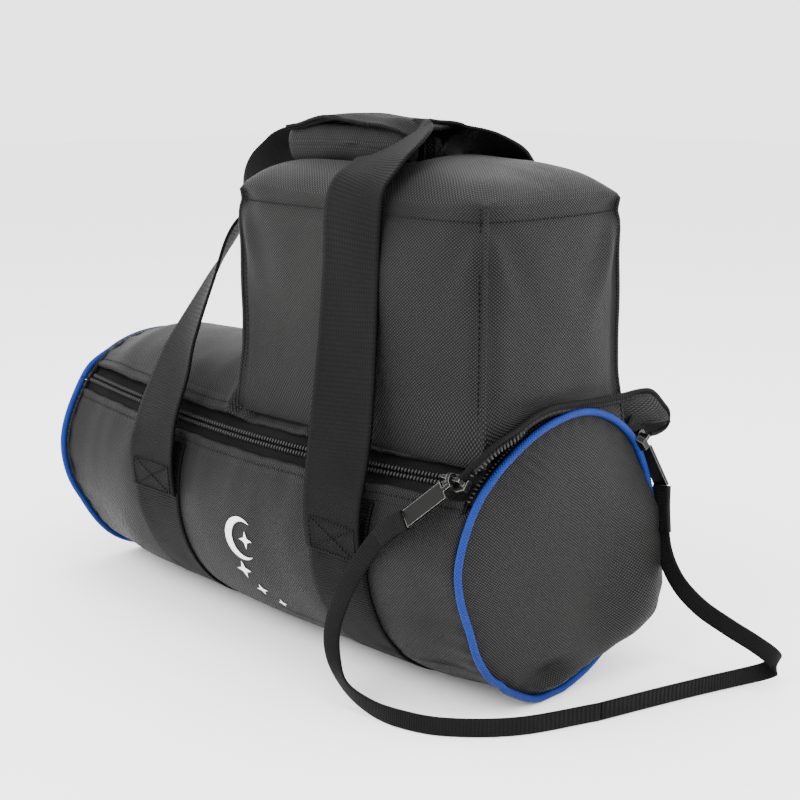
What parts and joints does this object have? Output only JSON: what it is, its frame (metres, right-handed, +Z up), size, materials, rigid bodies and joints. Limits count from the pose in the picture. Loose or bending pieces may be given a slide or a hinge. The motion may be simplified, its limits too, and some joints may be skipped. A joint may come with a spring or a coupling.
{
  "type": "telescope carry case",
  "caption": "Padded nylon carry case: a lying drum for a short optical tube with a tall box on its zip-round lid, webbing handles meeting in a padded grip.",
  "frame": {"origin": "on the floor, under the middle of the case", "axes": "+X along the drum to the near end, where the zip opens and the box stands; +Y to the right-hand side seen from the near end's opposite, +Z up"},
  "size_m": [0.5041, 0.2171, 0.3403],
  "materials": {
    "nylon": "ribbed woven nylon, padded, low sheen",
    "webbing": "ribbed woven webbing",
    "grip": "padded nylon with hook-and-loop edges",
    "lining": "smooth brushed lining",
    "piping": "woven blue cord",
    "zip_tape": "ribbed zip tape",
    "zip_coil": "nylon coil teeth, semi-gloss",
    "black_metal": "black painted die-cast, worn to bright metal at edges",
    "ribbon": "narrow ribbed ribbon"
  },
  "bodies": {
    "root": {"drum_wrap": "nylon", "drum_lining": "lining", "left_lower_welt": "nylon", "right_lower_welt": "nylon", "near_end_panel": "nylon", "far_end_panel_lower": "nylon", "near_piping": "piping", "far_piping_lower": "piping", "left_lower_zip_tape": "zip_tape", "left_lower_zip_coil": "zip_coil", "right_lower_zip_tape": "zip_tape", "right_lower_zip_coil": "zip_coil", "near_lower_zip_tape": "zip_tape", "near_lower_zip_coil": "zip_coil", "near_base_strap": "webbing", "far_base_strap": "webbing", "ribbon_left": "ribbon", "ribbon_right": "ribbon"},
    "lid": {"lid_wrap": "nylon", "lid_lining": "lining", "left_upper_welt": "nylon", "right_upper_welt": "nylon", "far_end_panel_upper": "nylon", "far_piping_upper": "piping", "left_upper_zip_tape": "zip_tape", "left_upper_zip_coil": "zip_coil", "right_upper_zip_tape": "zip_tape", "right_upper_zip_coil": "zip_coil", "near_upper_zip_tape": "zip_tape", "near_upper_zip_coil": "zip_coil", "box_left_panel": "nylon", "box_right_panel": "nylon", "box_far_panel": "nylon", "box_near_panel": "nylon", "box_top_panel": "nylon"},
    "left_handle": {"left_handle_webbing": "webbing", "left_grip_pad": "grip"},
    "right_handle": {"right_handle_webbing": "webbing", "right_grip_pad": "grip"},
    "grip_flap": {"grip_flap": "grip"},
    "left_slider": {"left_slider": "black_metal"},
    "right_slider": {"right_slider": "black_metal"},
    "left_pull_tab": {"left_pull_tab": "black_metal"},
    "right_pull_tab": {"right_pull_tab": "black_metal"}
  },
  "joints": [
    {"name": "lid_hinge", "type": "hinge", "parent": "root", "child": "lid", "pos_m": [-0.2123, 0, 0.1395], "axis": [0, -1, 0], "range_deg": [0, 80], "deforming": ["left_handle_webbing", "right_handle_webbing", "left_grip_pad", "right_grip_pad", "grip_flap", "left_upper_zip_tape", "left_upper_zip_coil", "right_upper_zip_tape", "right_upper_zip_coil"]},
    {"name": "left_handle_swing", "type": "hinge", "parent": "root", "child": "left_handle", "pos_m": [0.0125, -0.0922, 0.112], "axis": [1, 0, 0], "range_deg": [0, 120]},
    {"name": "right_handle_swing", "type": "hinge", "parent": "root", "child": "right_handle", "pos_m": [0.0125, 0.0922, 0.112], "axis": [-1, 0, 0], "range_deg": [0, 120]},
    {"name": "grip_flap_hinge", "type": "hinge", "parent": "right_handle", "child": "grip_flap", "pos_m": [0.037, 0.0172, 0.33615], "axis": [-1, 0, 0], "range_deg": [0, 130]},
    {"name": "left_slider_travel", "type": "slide", "parent": "root", "child": "left_slider", "axis": [1, 0, 0], "range_m": [-0.375, 0]},
    {"name": "right_slider_travel", "type": "slide", "parent": "root", "child": "right_slider", "axis": [1, 0, 0], "range_m": [-0.385, 0]},
    {"name": "left_tab_swing", "type": "hinge", "parent": "left_slider", "child": "left_pull_tab", "pos_m": [0.19, -0.07756, 0.14981], "axis": [-1, 0, 0], "range_deg": [0, 150]},
    {"name": "right_tab_swing", "type": "hinge", "parent": "right_slider", "child": "right_pull_tab", "pos_m": [0.203, 0.07756, 0.14981], "axis": [1, 0, 0], "range_deg": [0, 40]}
  ]
}
